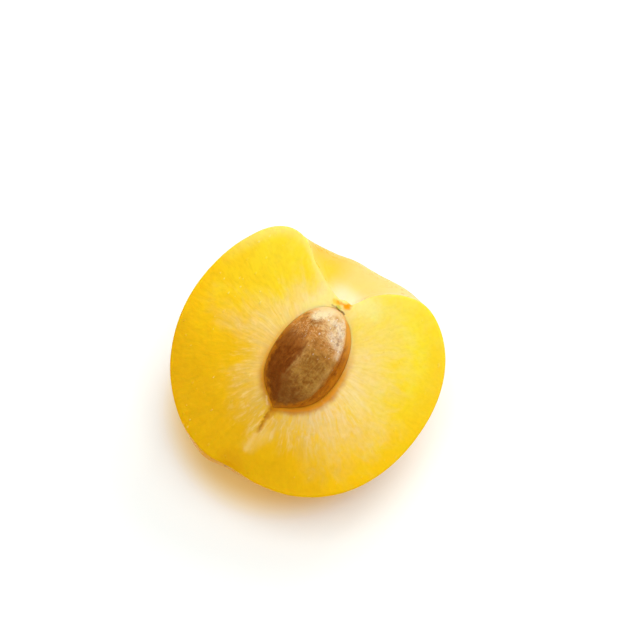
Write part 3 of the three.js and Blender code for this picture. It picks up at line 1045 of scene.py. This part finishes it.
# ---- the stone's shell
def shell_fields(tree):
    """What the shell's colours go by: where a point is, and its unevenness at several sizes."""
    place = place_of(tree)
    axes = axes_of(place)
    mottle = place_group(MOTTLE, Place=place, Patch_Size=3.5, Cell_Size=0.3)
    thread_place = vector_of("MULTIPLY", place, (1.0, 0.22, 1.0))
    blotch_place = vector_of("MULTIPLY", place, (1.0, 0.5, 1.0))
    return SimpleNamespace(
        place=place, x=axes["X"], y=axes["Y"], clouds=mottle["Clouds"], cells=mottle["Cells"],
        jagged=uneven(mottle["Clouds"], -0.7, 0.7),
        threads=noise_of(thread_place, 2.0, 2.0, 0.6, 0.8),
        blotches=noise_of(blotch_place, 1.1, 3.0, 0.6, 1.0),
        **values_of(tree, "height", "flank", "crest_line", "ridge", "keel", "inset"),
    )


def shell_colour(shell):
    """Olive and tan on the upper flat, dark and reddish on the flank, partly painted shade, and a
    painted highlight along the crest between them and along the ridge.
    """
    reddish = colour_mix(range_of(shell.blotches, 0.38, 0.68, 0.0, 0.9), STONE_DARK, STONE_RED)
    tip_side = shell.y + shell.x * 0.6 + shell.jagged
    # A painted highlight along the crest.
    crest_highlight = shell.crest_line * step_of(shell.y, -5.5, -1.5)
    colour = layered(
        STONE_BROWN,
        (range_of(shell.clouds, 0.35, 0.65), STONE_OLIVE),
        (range_of(shell.threads, 0.5, 0.75, 0.0, 0.35), STONE_TAN),
        # The dark reddish flank: partly its own colour, partly painted shade.
        (shell.flank, reddish),
        (step_of(tip_side, -2.6, -5.0) * 0.6, STONE_DARK),
        (crest_highlight * range_of(shell.blotches, 0.35, 0.6, 0.25, 0.7), STONE_TAN),
        # A painted highlight along the ridge.
        (shell.ridge * step_of(shell.y, -6.5, 1.0) * 0.6, STONE_TAN),
    )
    return shade(colour, range_of(shell.cells, 0.35, 0.7, 0.9, 1.12))


def crusted(shell, colour, crust):
    """A colour with dried flesh on the stalk end: warm tan, then cream, pale marks that are partly
    painted glare, and curls of both.
    """
    stalk_side = shell.y + shell.jagged
    warm = step_of(stalk_side, 0.2, 5.2) * range_of(shell.blotches, 0.35, 0.6, 0.6, 0.95)
    colour = layered(colour, (warm, STONE_WARM), (crust, STONE_CREAM))
    colour = smudged(colour, vector_of("MULTIPLY", shell.place, IN_FACE), *STONE_CRUST_AND_GLARE)
    curls = noise_of(vector_of("ADD", shell.place, (2.4, -6.0, 0)), 0.6, 1.0, 0.5, 1.6)
    curls = math_of("PINGPONG", curls * 5.0, 0.5)
    clinging = step_of(shell.y, 1.5, 4.5) * step_of(shell.y, 9.5, 7.5) * 0.35
    return layered(
        colour,
        (step_of(curls, 0.26, 0.0) * clinging, STONE_RED),
        (step_of(curls, 0.32, 0.47) * clinging, STONE_CREAM),
    )


def soaked_and_shaded(shell, colour):
    """A colour with juice that has seeped into the band beside the keel, whose dark amber is partly
    painted shade, and into the edge that the flesh holds.
    """
    # The band beside the keel: amber juice, and dark partly as painted shade on the stone's steep side.
    amber = layered(
        STONE_AMBER,
        (range_of(shell.blotches, 0.35, 0.65, 0.05, 0.75), STONE_DARK),
        (step_of(shell.y, 3.5, 7.5) * 0.85, STONE_ORANGE),
    )
    edge = step_of(shell.inset + shell.jagged * 0.7, 1.1, -0.1)
    edge = edge * range_of(shell.blotches, 0.35, 0.65, 1.0, 0.6)
    edge_colour = colour_mix(step_of(shell.y, 1.5, 8.0), STONE_SOAKED, STONE_ORANGE)
    return layered(colour, (shell.keel * 0.92, amber), (edge, edge_colour))


def stone_material():
    """Rough shell, damp with juice: dark flank, partly painted shade, olive flat, warm and then pale to
    the stalk end.
    """
    material, tree = new_material("plum_stone_shell")
    shell = shell_fields(tree)
    crust = step_of(shell.y + shell.jagged + shell.x * 0.45, 3.6, 8.4)
    crust = crust * range_of(shell.clouds, 0.35, 0.6, 0.6, 1.0)
    crust = crust * range_of(shell.cells, 0.35, 0.6, 0.75, 1.0)
    colour = crusted(shell, shell_colour(shell), crust)

    glint_place = vector_of("MULTIPLY", shell.place, (1.0, 0.6, 1.0))
    glints = place_group(FLECKS, Place=glint_place, Spacing=0.55, Size=0.13, Share=0.35)["Dots"]
    glints = glints * step_of(shell.y, -1.0, 4.5) * range_of(shell.flank, 0.0, 1.0, 0.8, 0.25)
    colour = soaked_and_shaded(shell, colour_mix(glints, colour, STONE_PALE))

    # A flap of pale flesh at the stalk end, and painted shade in the pits.
    flap = step_of(shell.y + shell.x * -0.35 + shell.jagged * 0.6, 8.0, 9.6) * 0.8
    pits = step_of(shell.height, -0.04, -0.18) * range_of(crust, 0.0, 1.0, 0.55, 0.25)
    colour = layered(colour, (flap, STONE_CREAM), (pits, RECESS_SHADE))

    normal = bump_of(shell.clouds, 0.2 * MM)
    return surfaced(
        material, Base_Color=colour, Roughness=uneven(shell.clouds, 0.42, 0.62),
        Normal=bump_of(shell.threads + glints * 0.4, 0.1 * MM, normal),
        Coat_Weight=math_of("MAXIMUM", crust * 0.2, glints),
        Subsurface_Weight=0.15, Subsurface_Radius=(1.0, 0.5, 0.2), Subsurface_Scale=0.8 * MM,
        IOR=1.45, Specular_IOR_Level=0.06, Coat_Roughness=0.28, Coat_IOR=1.4,
    )


# ---- the pieces
plum_half = fruit_half()
plum_half.data.materials.append(flesh_material())
plum_half.data.materials.append(skin_material())
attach(plum_half, "root")
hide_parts("fruit_half")

plum_stone = stone()
plum_stone.data.materials.append(stone_material())
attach(plum_stone, "root")
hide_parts("stone")


# ---- floor, light and camera
FLOOR_SIZE = 3.0
FLOOR_WHITE = srgb(245, 251, 250)
FLOOR_BRIGHT = srgb(249, 254, 253)
FLOOR_GLOW = 0.13
GLOW_CENTRE = (-0.005, 0, 0)
GLOW_START = 0.0155
GLOW_END = 0.0225
GLOW_COLOUR = srgb(247, 222, 146)

WORLD_STRENGTH = 0.5
LIGHT_AIM = (0, 0, 0.015)
WARM_WHITE = (1.0, 0.995, 0.985)
COOL_WHITE = (0.985, 0.99, 1.0)
# Each softbox: name, place, size in metres, watts, colour.
SOFTBOXES = (
    ("key", (0.08, 0.13, 0.15), 0.12, 0.14, WARM_WHITE),
    ("top", (0.03, 0.0, 0.5), 0.3, 1.1, WARM_WHITE),
    ("fill", (-0.4, -0.35, 0.5), 0.4, 0.06, COOL_WHITE),
)

CAMERA_ELEVATION = math.radians(69)
CAMERA_LENS = 120
CAMERA_SENSOR = 36
PICTURE = 640  # the picture's width and height in pixels
PIXEL = 0.1685 * MM  # what a pixel covers at the stone's middle
STONE_RIGHT = -13  # pixels from the picture's middle to the stone's middle
STONE_DOWN = 40


def stand(thing, name, place, facing):
    """Puts a camera or a light in the scene at a place, turned to face a way."""
    holder = new_object(name, thing)
    holder.location = place
    holder.rotation_mode = "QUATERNION"
    holder.rotation_quaternion = facing.to_track_quat("-Z", "Y")
    return holder


def floor():
    mesh = bpy.data.meshes.new("floor")
    half = FLOOR_SIZE / 2
    corners = [(-half, -half, 0), (half, -half, 0), (half, half, 0), (-half, half, 0)]
    mesh.from_pydata(corners, [], [(0, 1, 2, 3)])
    material, tree = new_material("white_sweep")
    ground = add("TexCoord", tree=tree)["Object"]
    colour = colour_mix(noise_of(ground, 3.0), FLOOR_WHITE, FLOOR_BRIGHT)
    # Light that has been through the fruit warms the floor beneath it.
    from_glow = vector_of("DISTANCE", ground, GLOW_CENTRE)["Value"]
    colour = colour_mix(step_of(from_glow, GLOW_END, GLOW_START), colour, GLOW_COLOUR)
    surfaced(
        material, Base_Color=colour, Roughness=0.7, Emission_Color=colour, Emission_Strength=FLOOR_GLOW
    )
    mesh.materials.append(material)
    return new_object("floor", mesh)


def camera():
    """Looks at the cut face a little below square, as close as the picture's framing needs."""
    back = Vector((0, -math.cos(CAMERA_ELEVATION), math.sin(CAMERA_ELEVATION)))
    right = Vector((1, 0, 0))
    up = back.cross(right)
    aim = STONE_CENTRE - right * STONE_RIGHT * PIXEL + up * STONE_DOWN * PIXEL
    distance = CAMERA_LENS / CAMERA_SENSOR * PICTURE * PIXEL
    data = bpy.data.cameras.new("camera")
    data.lens = CAMERA_LENS
    data.sensor_width = CAMERA_SENSOR
    data.clip_start = 0.01
    bpy.context.scene.camera = stand(data, "camera", aim + back * distance, -back)


def studio():
    """A plain white world and soft square lights."""
    world = bpy.data.worlds.new("studio")
    world.use_nodes = True
    background = world.node_tree.nodes["Background"]
    background.inputs["Color"].default_value = (1.0, 1.0, 1.0, 1.0)
    background.inputs["Strength"].default_value = WORLD_STRENGTH
    bpy.context.scene.world = world
    bpy.context.scene.view_settings.view_transform = "Standard"
    for name, place, size, power, colour in SOFTBOXES:
        light = bpy.data.lights.new(name, "AREA")
        light.shape = "SQUARE"
        light.size = size
        light.energy = power
        light.color = colour
        stand(light, name, place, Vector(LIGHT_AIM) - Vector(place))


sweep = floor()
studio()
camera()
